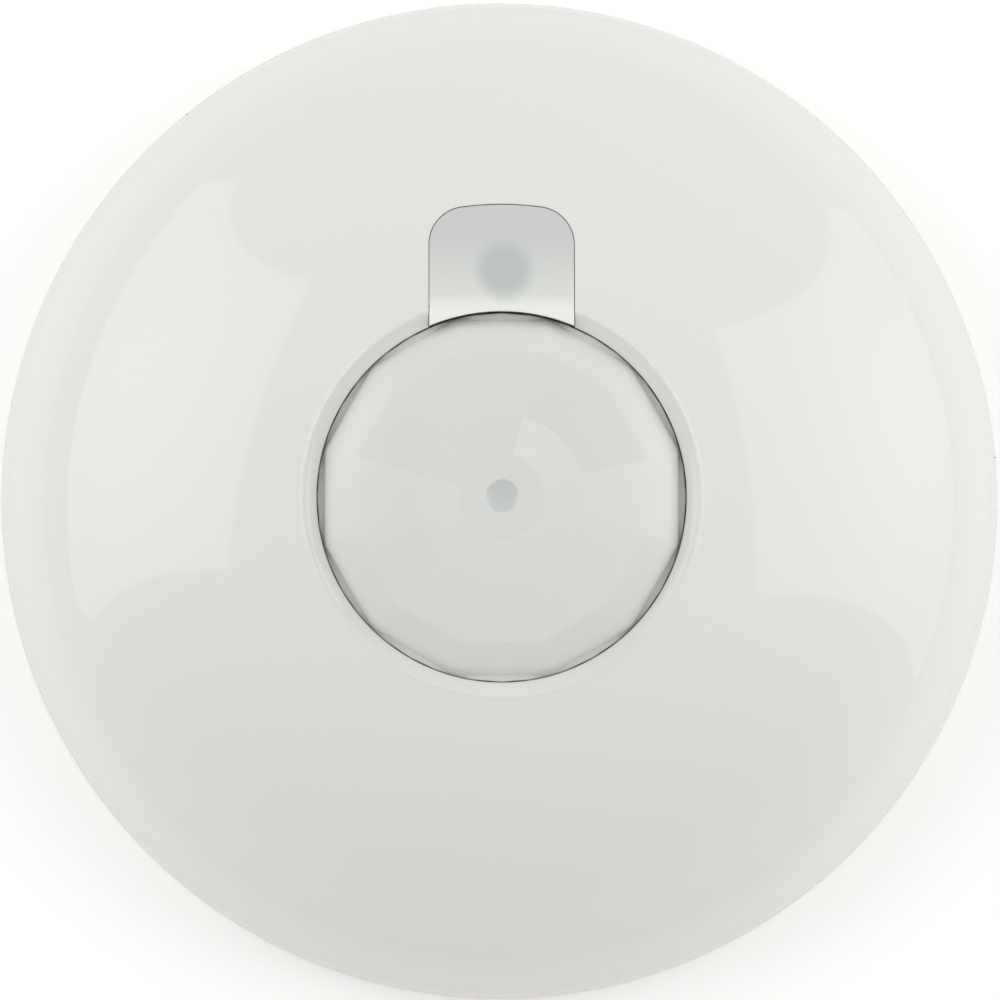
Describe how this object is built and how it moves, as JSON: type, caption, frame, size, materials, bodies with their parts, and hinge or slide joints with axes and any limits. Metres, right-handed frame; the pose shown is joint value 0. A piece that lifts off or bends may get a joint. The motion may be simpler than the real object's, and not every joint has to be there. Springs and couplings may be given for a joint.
{
  "type": "ceiling motion sensor",
  "caption": "Round domed ceiling motion sensor: lift-off white cover with a faceted infrared lens and an indicator window over a base, board, terminals and tamper switch.",
  "frame": {"origin": "centre of the flat mounting face of the base, which is the bottom of the part's box", "axes": "+Z out of the ceiling face through the lens, +Y from the lens to the indicator window, +X to the right as seen from the lens side"},
  "size_m": [0.115, 0.115, 0.0338],
  "materials": {
    "cover_plastic": "moulded, glossy, warm white",
    "lens_plastic": "milky translucent polyethylene, satin",
    "window_plastic": "milky blue-grey translucent, glossy",
    "base_plastic": "moulded, fine spark texture",
    "rubber": "soft, dull",
    "board": "solder mask, semi-gloss",
    "steel": "zinc plated",
    "spring_steel": "bright rolled",
    "white_plastic": "moulded",
    "gold_metal": "gold plated",
    "can_metal": "nickel plated",
    "filter": "dark coated silicon",
    "led_plastic": "clear tinted epoxy",
    "tinned_metal": "tin plated",
    "terminal_plastic": "moulded",
    "brass": "dull plated",
    "black_plastic": "moulded",
    "button_plastic": "moulded",
    "relay_plastic": "moulded",
    "chip_plastic": "transfer moulded epoxy",
    "capacitor_metal": "bright, scored top",
    "sleeve_plastic": "shrunk sleeve",
    "resistor": "glazed top, tinned ends",
    "ceramic_chip": "tinned ends",
    "diode_glass": "glass body, tinned ends",
    "varistor_coating": "dipped, slightly uneven",
    "cap_plastic": "moulded",
    "trimmer_plastic": "moulded"
  },
  "bodies": {
    "base": {"mounting_base": "base_plastic", "cable_grommet": "rubber", "circuit_board": "board", "board_screws": "steel", "sensor_holder": "white_plastic", "sensor_header": "gold_metal", "sensor_can": "can_metal", "sensor_filter": "filter", "sensor_leads": "gold_metal", "indicator_led": "led_plastic", "led_spacer": "white_plastic", "led_leads": "tinned_metal", "terminal_block": "terminal_plastic", "terminal_bars": "brass", "tamper_switch": "black_plastic", "tamper_contacts": "tinned_metal", "relay": "relay_plastic", "relay_contacts": "tinned_metal", "controller_chip": "chip_plastic", "controller_legs": "tinned_metal", "amplifier_chip": "chip_plastic", "amplifier_legs": "tinned_metal", "capacitor_cans": "capacitor_metal", "capacitor_sleeves": "sleeve_plastic", "chip_resistors": "resistor", "chip_capacitors": "ceramic_chip", "diodes": "diode_glass", "varistor": "varistor_coating", "regulator": "chip_plastic", "regulator_legs": "tinned_metal", "jumper_headers": "black_plastic", "jumper_posts": "gold_metal", "trimmer_body": "trimmer_plastic"},
    "cover": {"front_cover": "cover_plastic", "lens_dome": "lens_plastic", "lens_ring": "white_plastic", "led_window": "window_plastic"},
    "tamper_lever": {"tamper_lever": "spring_steel"},
    "tamper_button": {"tamper_button": "button_plastic"},
    "trimmer_rotor": {"trimmer_rotor": "white_plastic"},
    "terminal_screw_1": {"terminal_screw_1": "steel"},
    "wire_clamp_1": {"wire_clamp_1": "brass"},
    "terminal_screw_2": {"terminal_screw_2": "steel"},
    "wire_clamp_2": {"wire_clamp_2": "brass"},
    "terminal_screw_3": {"terminal_screw_3": "steel"},
    "wire_clamp_3": {"wire_clamp_3": "brass"},
    "terminal_screw_4": {"terminal_screw_4": "steel"},
    "wire_clamp_4": {"wire_clamp_4": "brass"},
    "terminal_screw_5": {"terminal_screw_5": "steel"},
    "wire_clamp_5": {"wire_clamp_5": "brass"},
    "terminal_screw_6": {"terminal_screw_6": "steel"},
    "wire_clamp_6": {"wire_clamp_6": "brass"},
    "jumper_cap_1": {"jumper_cap_1": "cap_plastic"},
    "jumper_cap_2": {"jumper_cap_2": "cap_plastic"},
    "jumper_cap_3": {"jumper_cap_3": "cap_plastic"}
  },
  "joints": [
    {"name": "cover_lift", "type": "slide", "parent": "base", "child": "cover", "axis": [0, 0, 1], "range_m": [0, 0.04]},
    {"name": "tamper_lever_swing", "type": "hinge", "parent": "base", "child": "tamper_lever", "pos_m": [0.026, -0.0106, 0.0145], "axis": [-1, 0, 0], "range_deg": [0, 12]},
    {"name": "tamper_button_press", "type": "slide", "parent": "base", "child": "tamper_button", "axis": [0, 0, 1], "range_m": [0, 0.0005]},
    {"name": "trimmer_turn", "type": "hinge", "parent": "base", "child": "trimmer_rotor", "pos_m": [0.017, 0.021, 0.01], "axis": [0, 0, 1], "range_deg": [-105, 105]},
    {"name": "terminal_screw_1_turn", "type": "hinge", "parent": "base", "child": "terminal_screw_1", "pos_m": [-0.0127, -0.0368, 0.012], "axis": [0, 0, 1], "range_deg": [-1080, 0]},
    {"name": "wire_clamp_1_rise", "type": "slide", "parent": "base", "child": "wire_clamp_1", "axis": [0, 0, 1], "range_m": [0, 0.0015]},
    {"name": "terminal_screw_2_turn", "type": "hinge", "parent": "base", "child": "terminal_screw_2", "pos_m": [-0.00762, -0.0368, 0.012], "axis": [0, 0, 1], "range_deg": [-1080, 0]},
    {"name": "wire_clamp_2_rise", "type": "slide", "parent": "base", "child": "wire_clamp_2", "axis": [0, 0, 1], "range_m": [0, 0.0015]},
    {"name": "terminal_screw_3_turn", "type": "hinge", "parent": "base", "child": "terminal_screw_3", "pos_m": [-0.00254, -0.0368, 0.012], "axis": [0, 0, 1], "range_deg": [-1080, 0]},
    {"name": "wire_clamp_3_rise", "type": "slide", "parent": "base", "child": "wire_clamp_3", "axis": [0, 0, 1], "range_m": [0, 0.0015]},
    {"name": "terminal_screw_4_turn", "type": "hinge", "parent": "base", "child": "terminal_screw_4", "pos_m": [0.00254, -0.0368, 0.012], "axis": [0, 0, 1], "range_deg": [-1080, 0]},
    {"name": "wire_clamp_4_rise", "type": "slide", "parent": "base", "child": "wire_clamp_4", "axis": [0, 0, 1], "range_m": [0, 0.0015]},
    {"name": "terminal_screw_5_turn", "type": "hinge", "parent": "base", "child": "terminal_screw_5", "pos_m": [0.00762, -0.0368, 0.012], "axis": [0, 0, 1], "range_deg": [-1080, 0]},
    {"name": "wire_clamp_5_rise", "type": "slide", "parent": "base", "child": "wire_clamp_5", "axis": [0, 0, 1], "range_m": [0, 0.0015]},
    {"name": "terminal_screw_6_turn", "type": "hinge", "parent": "base", "child": "terminal_screw_6", "pos_m": [0.0127, -0.0368, 0.012], "axis": [0, 0, 1], "range_deg": [-1080, 0]},
    {"name": "wire_clamp_6_rise", "type": "slide", "parent": "base", "child": "wire_clamp_6", "axis": [0, 0, 1], "range_m": [0, 0.0015]},
    {"name": "jumper_cap_1_pull", "type": "slide", "parent": "base", "child": "jumper_cap_1", "axis": [0, 0, 1], "range_m": [0, 0.0045]},
    {"name": "jumper_cap_2_pull", "type": "slide", "parent": "base", "child": "jumper_cap_2", "axis": [0, 0, 1], "range_m": [0, 0.0045]},
    {"name": "jumper_cap_3_pull", "type": "slide", "parent": "base", "child": "jumper_cap_3", "axis": [0, 0, 1], "range_m": [0, 0.0045]}
  ],
  "couplings": [
    {"joint": "tamper_lever_swing", "follows": "cover_lift", "rad_per_m": 5.2},
    {"joint": "tamper_button_press", "follows": "cover_lift", "ratio": 0.012},
    {"joint": "terminal_screw_1_turn", "follows": "wire_clamp_1_rise", "rad_per_m": -12566},
    {"joint": "terminal_screw_2_turn", "follows": "wire_clamp_2_rise", "rad_per_m": -12566},
    {"joint": "terminal_screw_3_turn", "follows": "wire_clamp_3_rise", "rad_per_m": -12566},
    {"joint": "terminal_screw_4_turn", "follows": "wire_clamp_4_rise", "rad_per_m": -12566},
    {"joint": "terminal_screw_5_turn", "follows": "wire_clamp_5_rise", "rad_per_m": -12566},
    {"joint": "terminal_screw_6_turn", "follows": "wire_clamp_6_rise", "rad_per_m": -12566}
  ]
}
